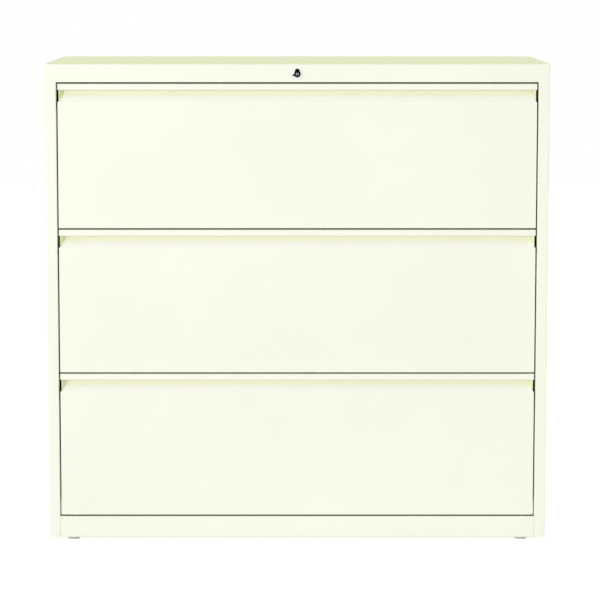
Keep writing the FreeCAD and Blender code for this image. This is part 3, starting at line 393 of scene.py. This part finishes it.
def mill_steel(name, colour, touched):
    """Hot-rolled plate with its dark scale and a little rust bloom."""
    made, tree, shader = new_material(name)
    place = own_place(tree)
    scale = noise(tree, place, SCALE_WAVES, detail=5.0, roughness=0.65)
    bloom = noise(tree, place, BLOOM_WAVES, detail=4.0, roughness=0.6)
    scale = stretch(tree, scale, 0.35, 0.7)
    bloom = stretch(tree, bloom, 0.58, 0.75, start=0.0, end=0.55)
    plate = mix_colour(tree, scale, scaled(colour, SCALE_TONE), colour)
    tree.links.new(mix_colour(tree, bloom, plate, RUST), shader.inputs["Base Color"])
    wear(tree, shader, use_group(tree, touched, Patches=20.0, Streaks=90.0), SCALE_SHEEN)
    metallic = stretch(tree, bloom, 0.0, 0.5, start=0.85, end=0.1)
    tree.links.new(metallic, shader.inputs["Metallic"])
    bump(tree, shader, scale, SCALE_GRAIN)
    return made


def turned_metal(name, colour, touched, metallic, bright_radius=None):
    """Satin plating over turned rings about the lock's axis; with bright_radius, a key plug that is black
    outside it, and whose key slot is painted black as painted shade."""
    made, tree, shader = new_material(name)
    centred = node(
        tree, "ShaderNodeMapping", Vector=own_place(tree), Location=(0.0, 0.0, -LOCK_HEIGHT)
    ).outputs[0]
    across, _, up = node(tree, "ShaderNodeSeparateXYZ", Vector=centred).outputs
    flat = node(tree, "ShaderNodeCombineXYZ", X=across, Y=up).outputs[0]
    radius = node(tree, "ShaderNodeVectorMath", {"operation": "LENGTH"}, _0=flat).outputs["Value"]
    rings = noise(tree, node(tree, "ShaderNodeCombineXYZ", X=radius).outputs[0], RING_WAVES)
    shade = mix_colour(tree, rings, scaled(colour, TURNED_TONE), colour)
    if bright_radius:
        outside = maths(tree, "GREATER_THAN", radius, bright_radius)
        # Painted shade: the key slot is painted black.
        keyway_shade = [
            maths(tree, "LESS_THAN", maths(tree, "ABSOLUTE", away), half)
            for away, half in zip((across, up), KEY_SLOT_HALF)
        ]
        black = maths(tree, "MAXIMUM", outside, maths(tree, "MULTIPLY", *keyway_shade))
        shade = mix_colour(tree, black, shade, LOCK_BLACK)
    tree.links.new(shade, shader.inputs["Base Color"])
    wear(tree, shader, use_group(tree, touched, Patches=160.0, Streaks=400.0), TURNED_SHEEN)
    shader.inputs["Metallic"].default_value = metallic
    bump(tree, shader, rings, TURNED_GRAIN)
    return made


def glide_finish(name, peel, touched):
    """One glide: nylon pad below, plated stud above it."""
    made, tree, shader = new_material(name)
    height = node(tree, "ShaderNodeSeparateXYZ", Vector=own_place(tree)).outputs[2]
    stud = maths(tree, "GREATER_THAN", height, GLIDE_PAD_TOP)
    skin = use_group(tree, peel, Waves=1400.0, Grain=6000.0)
    nylon = mix_colour(tree, skin.outputs["Tone"], scaled(NYLON, NYLON_TONE), NYLON)
    tree.links.new(mix_colour(tree, stud, nylon, ZINC), shader.inputs["Base Color"])
    tree.links.new(stud, shader.inputs["Metallic"])
    wear(tree, shader, use_group(tree, touched, Patches=90.0, Streaks=300.0), GLIDE_SHEEN)
    bump(tree, shader, skin.outputs["Height"], GLIDE_GRAIN)
    return made


# Small hardware


def add_block(mesh, low, high):
    """A rectangular bar between two corners."""
    made = bmesh.ops.create_cube(mesh, size=1.0)["verts"]
    size = [high[axis] - low[axis] for axis in range(3)]
    middle = [(high[axis] + low[axis]) / 2 for axis in range(3)]
    bmesh.ops.scale(mesh, vec=size, verts=made)
    bmesh.ops.translate(mesh, vec=middle, verts=made)


def add_turned(mesh, profile, place, axis, sides):
    """A turned shape: profile gives radius and height, standing on place along axis."""
    spin = Vector((0, 0, 1)).rotation_difference(Vector(axis)).to_matrix().to_4x4()
    stand = Matrix.Translation(place) @ spin
    turns = [2 * math.pi * number / sides for number in range(sides)]
    rings = []
    for radius, height in profile:
        if radius == 0:
            rings.append([mesh.verts.new(stand @ Vector((0, 0, height)))])
            continue
        rings.append([
            mesh.verts.new(stand @ Vector((radius * math.cos(turn), radius * math.sin(turn), height)))
            for turn in turns
        ])
    for lower, upper in zip(rings, rings[1:]):
        for number in range(sides):
            after = (number + 1) % sides
            if len(upper) == 1:
                mesh.faces.new((lower[number], lower[after], upper[0]))
            else:
                mesh.faces.new((lower[number], lower[after], upper[after], upper[number]))


def piece(name, mesh, body, finish):
    """A finished piece from a bmesh, riding on a body."""
    bmesh.ops.recalc_face_normals(mesh, faces=mesh.faces)
    data = bpy.data.meshes.new(name)
    mesh.to_mesh(data)
    mesh.free()
    data.materials.append(finish)
    for face in data.polygons:
        face.use_smooth = True
    data.set_sharp_from_angle(angle=SHARP_FROM)
    made = bpy.data.objects.new(name, data)
    bpy.context.scene.collection.objects.link(made)
    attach(made, body)
    return made


def ball_race(mesh, across, height, start, end):
    """One row of bearing balls in its cage, along Y."""
    step = (end - start) / BALLS_IN_RACE
    for number in range(BALLS_IN_RACE):
        middle = start + (number + 0.5) * step
        made = bmesh.ops.create_icosphere(mesh, subdivisions=2, radius=BALL_RADIUS)["verts"]
        bmesh.ops.translate(mesh, vec=(across, middle, height), verts=made)
    for side in (-1, 1):
        rail = across + side * (BALL_RADIUS + CAGE_GAUGE)
        add_block(mesh, (rail - CAGE_GAUGE / 2, start, height - CAGE_HALF),
                  (rail + CAGE_GAUGE / 2, end, height + CAGE_HALF))
    for number in range(BALLS_IN_RACE + 1):
        bar = start + number * step
        add_block(mesh, (across - BALL_RADIUS - CAGE_GAUGE, bar - CAGE_GAUGE, height - CAGE_HALF),
                  (across + BALL_RADIUS + CAGE_GAUGE, bar + CAGE_GAUGE, height + CAGE_HALF))


def ball_cages(drawer, side, finish):
    """The four ball races of one slide. The outer pair sits at the rear of the middle member, the inner
    pair at its front, where the members still overlap with the drawer open."""
    inner_low, inner_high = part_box(f"{drawer}_inner_slide_{side}")
    middle_low, middle_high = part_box(f"{drawer}_middle_slides")
    centre = (inner_low.z + inner_high.z) / 2
    inner_half = (inner_high.z - inner_low.z) / 2
    middle_half = (middle_high.z - middle_low.z) / 2
    outward = 1 if side == "right" else -1
    tray_face = abs(inner_low.x) if side == "right" else abs(inner_high.x)
    race = BALL_RADIUS + RACE_PLAY
    mesh = bmesh.new()
    for way in (-1, 1):
        ball_race(mesh, outward * (tray_face + OUTER_RACE_ACROSS), centre + way * (middle_half + race),
                  middle_high.y - CAGE_LENGTH, middle_high.y - CAGE_END)
        ball_race(mesh, outward * (tray_face + INNER_RACE_ACROSS), centre + way * (inner_half + race),
                  middle_low.y + CAGE_END, middle_low.y + CAGE_LENGTH)
    piece(f"{drawer}_{side}_ball_cages", mesh, f"{drawer}_middle_slides", finish)


def tray_rivets(drawer, finish):
    """Domed rivets that hold the inner slide members, seen inside the tray."""
    mesh = bmesh.new()
    tray_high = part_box(f"{drawer}_tray")[1]
    slide_low, slide_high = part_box(f"{drawer}_inner_slide_left")
    height = (slide_low.z + slide_high.z) / 2
    wall = tray_high.x - TRAY_SHEET
    for side in (-1, 1):
        for share in RIVET_SHARES:
            back = slide_low.y + share * (slide_high.y - slide_low.y)
            add_turned(mesh, RIVET_HEAD, (side * wall, back, height), (-side, 0, 0), RIVET_SIDES)
    piece(f"{drawer}_tray_rivets", mesh, drawer, finish)


def keyhole_edge(turn):
    """Distance from the lock's axis to the edge of its keyhole-shaped housing, at an angle from +X."""
    inside = LOBE_RADIUS ** 2 - (LOBE_RISE * math.cos(turn)) ** 2
    lobe = LOBE_RISE * math.sin(turn) + math.sqrt(inside) if inside > 0 else 0.0
    return max(BARREL_RADIUS, lobe) + HOUSING_PLAY


def domed_bezel(front, finish):
    """The lock's bezel: a domed ring with a keyhole-shaped opening. front is the header's Y."""
    low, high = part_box("lock_bezel")
    radius = (high.x - low.x) / 2
    middle = ((low.x + high.x) / 2, (low.z + high.z) / 2)
    proud = front - low.y
    mesh = bmesh.new()
    loops = []
    for share, depth in BEZEL_PROFILE:
        loop = []
        for number in range(BEZEL_SIDES):
            turn = 2 * math.pi * number / BEZEL_SIDES
            edge = keyhole_edge(turn)
            reach = edge + (radius - edge) * share
            out = max(0.0, reach - BARREL_RADIUS) / (radius - BARREL_RADIUS)
            rise = math.sqrt(max(0.0, 1 - out ** 2))
            height = proud * (BEZEL_RIM + (BEZEL_CROWN - BEZEL_RIM) * rise) if depth is None else -depth
            across, up = reach * math.cos(turn), reach * math.sin(turn)
            loop.append(mesh.verts.new((middle[0] + across, front - height, middle[1] + up)))
        loops.append(loop)
    for inner, outer in zip(loops, loops[1:]):
        for number in range(BEZEL_SIDES):
            after = (number + 1) % BEZEL_SIDES
            mesh.faces.new((inner[number], inner[after], outer[after], outer[number]))
    ring = piece("lock_bezel_ring", mesh, "case", finish)
    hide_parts("lock_bezel")


def index_tab(front, finish):
    """Small tab on the housing's left, which keeps it from turning in the bezel. front is the header's Y."""
    low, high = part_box("lock_plug")
    across, up = (low.x + high.x) / 2, (low.z + high.z) / 2
    left, right = (across - step for step in TAB_ACROSS)
    bottom, top = (up - step for step in TAB_BELOW)
    mesh = bmesh.new()
    add_block(mesh, (left, front - TAB_PROUD, bottom), (right, front, top))
    bmesh.ops.bevel(mesh, geom=mesh.edges[:], offset=TAB_EDGE, segments=2, affect="EDGES", profile=0.5)
    piece("lock_index_tab", mesh, "case", finish)


# Stage


def looked_at(tree):
    """1 for a ray from the camera, or off a gloss or through something clear; 0 for soft light."""
    rays = node(tree, "ShaderNodeLightPath").outputs
    seen = maths(tree, "MAXIMUM", rays["Is Camera Ray"], rays["Is Glossy Ray"])
    return maths(tree, "MAXIMUM", seen, rays["Is Transmission Ray"])


def pale_floor():
    """A wide white floor that keeps the cabinet's soft shadow."""
    made, tree, shader = new_material("white_floor")
    tree.nodes.remove(shader)
    output = tree.nodes["Material Output"]
    glow = node(tree, "ShaderNodeEmission", Color=(*WHITE, 1.0), Strength=FLOOR_GLOW)
    thin = node(tree, "ShaderNodeBsdfDiffuse", Color=(*FLOOR_SKIN, 1.0))
    paper = node(tree, "ShaderNodeBsdfDiffuse", Color=(*FLOOR_PAPER, 1.0))
    lit = node(tree, "ShaderNodeAddShader", _0=glow.outputs[0], _1=thin.outputs[0])
    mix = node(
        tree, "ShaderNodeMixShader", _0=looked_at(tree), _1=paper.outputs[0], _2=lit.outputs[0]
    )
    tree.links.new(mix.outputs[0], output.inputs["Surface"])
    mesh = bpy.data.meshes.new("floor")
    corners = [(across * FLOOR_REACH, back * FLOOR_REACH, 0)
               for across, back in ((-1, -1), (1, -1), (1, 1), (-1, 1))]
    mesh.from_pydata(corners, [], [(0, 1, 2, 3)])
    floor = bpy.data.objects.new("floor", mesh)
    bpy.context.scene.collection.objects.link(floor)
    mesh.materials.append(made)


def white_world():
    """Soft even light, and plain white where the camera or a gloss looks past the floor."""
    world = bpy.data.worlds.new("studio")
    bpy.context.scene.world = world
    world.use_nodes = True
    tree = world.node_tree
    tree.nodes.clear()
    dim = node(tree, "ShaderNodeBackground", Color=(*DIM_SKY, 1.0), Strength=DIM_SKY_STRENGTH)
    white = node(tree, "ShaderNodeBackground", Color=(*WHITE, 1.0), Strength=1.0)
    mix = node(
        tree, "ShaderNodeMixShader", _0=looked_at(tree), _1=dim.outputs[0], _2=white.outputs[0]
    )
    output = tree.nodes.new("ShaderNodeOutputWorld")
    tree.links.new(mix.outputs[0], output.inputs["Surface"])


def soft_box():
    """A large soft lamp, in front and to the left."""
    lamp = bpy.data.lights.new("key", "AREA")
    lamp.shape = "RECTANGLE"
    lamp.size, lamp.size_y = LAMP_SIZE
    lamp.energy = LAMP_POWER
    lamp.color = LAMP_COLOUR
    made = bpy.data.objects.new("key", lamp)
    bpy.context.scene.collection.objects.link(made)
    made.location = LAMP_PLACE
    ahead = Vector(LAMP_TARGET) - Vector(LAMP_PLACE)
    made.rotation_euler = ahead.to_track_quat("-Z", "Y").to_euler()


def camera():
    """The photograph's view: long lens, a little above the top, square to the front."""
    lens = bpy.data.cameras.new("camera")
    lens.lens = CAMERA_LENS_MM
    lens.sensor_width = CAMERA_SENSOR_MM
    lens.shift_x, lens.shift_y = CAMERA_SHIFT
    made = bpy.data.objects.new("camera", lens)
    bpy.context.scene.collection.objects.link(made)
    made.location = CAMERA_PLACE
    made.rotation_euler = (math.pi / 2 - CAMERA_TILT, 0.0, 0.0)
    bpy.context.scene.camera = made


# Making

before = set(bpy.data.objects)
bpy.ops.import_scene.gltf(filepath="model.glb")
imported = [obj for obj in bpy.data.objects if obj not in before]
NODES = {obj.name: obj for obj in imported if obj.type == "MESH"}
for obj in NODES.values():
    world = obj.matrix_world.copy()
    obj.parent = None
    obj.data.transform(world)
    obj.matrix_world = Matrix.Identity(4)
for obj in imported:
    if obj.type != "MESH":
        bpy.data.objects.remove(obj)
cad_box = [list(corner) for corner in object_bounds()]
bpy.context.scene.view_settings.view_transform = "Standard"

camera()
pale_floor()
white_world()
soft_box()

peel = orange_peel()
touched = handling()
spangle = zinc_spangle()
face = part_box("drawer_1_front")[0].y
# Group that paints shade and light behind the drawer faces and on the top.
painted_shade_group = painted_shading(face, cad_box[1][2])
FINISHES = {
    "ivory_powder_coat": powder_coat("ivory_powder_coat_finish", IVORY, peel, touched),
    "zinc_steel": plated_steel("zinc_steel_finish", ZINC, spangle, touched),
    "bare_steel": mill_steel("mill_steel_finish", MILL_STEEL, touched),
    "ivory_plastic": moulded_plastic("moulded_ivory_finish", MOULDED_IVORY, peel, touched),
    "lock_chrome": turned_metal("lock_chrome_finish", CHROME, touched, BEZEL_METAL),
    "lock_black": powder_coat(
        "lock_black_finish", LOCK_BLACK, peel, touched, LOCK_BLACK_SHEEN, LOCK_BLACK_GRAIN, LOCK_BLACK_GLOSS
    ),
    "glide_nylon": glide_finish("glide_finish", peel, touched),
    "lock_plug": turned_metal("key_plug_finish", PLUG_METAL, touched, 1.0, BRIGHT_PLUG_RADIUS),
    "ball": plated_steel("ball_cage_finish", POLISHED_STEEL, spangle, touched, BALL_SHEEN),
}
# Parts with painted shade and light: a painted shade tint on the top and in the pull, painted light in the
# pull, and dark grey painted shade on ledges in the gaps.
PAINTED_SHADE_PARTS = {
    "top_panel": (TOP_SHADE_TINT, {"Top": 0.9}),
    "base_front_rail": (TOP_SHADE_TINT, {"Ledge": 1.0}),
}
for drawer in DRAWERS:
    PAINTED_SHADE_PARTS[f"{drawer}_front"] = (PULL_SHADE_TINT, {"Pull": 1.0, "Ledge": 0.6})
for name, (turned, shares) in PAINTED_SHADE_PARTS.items():
    FINISHES[name] = powder_coat(f"{name}_finish", IVORY, peel, touched, shade_paint=(painted_shade_group, turned, shares))

for name, part in NODES.items():
    for place, old in enumerate(part.data.materials):
        part.data.materials[place] = FINISHES.get(name) or FINISHES[old.name.split(".")[0]]

for drawer in DRAWERS:
    for side in SIDES:
        ball_cages(drawer, side, FINISHES["ball"])
    tray_rivets(drawer, FINISHES["zinc_steel"])
domed_bezel(face, FINISHES["lock_chrome"])
index_tab(face, FINISHES["lock_black"])
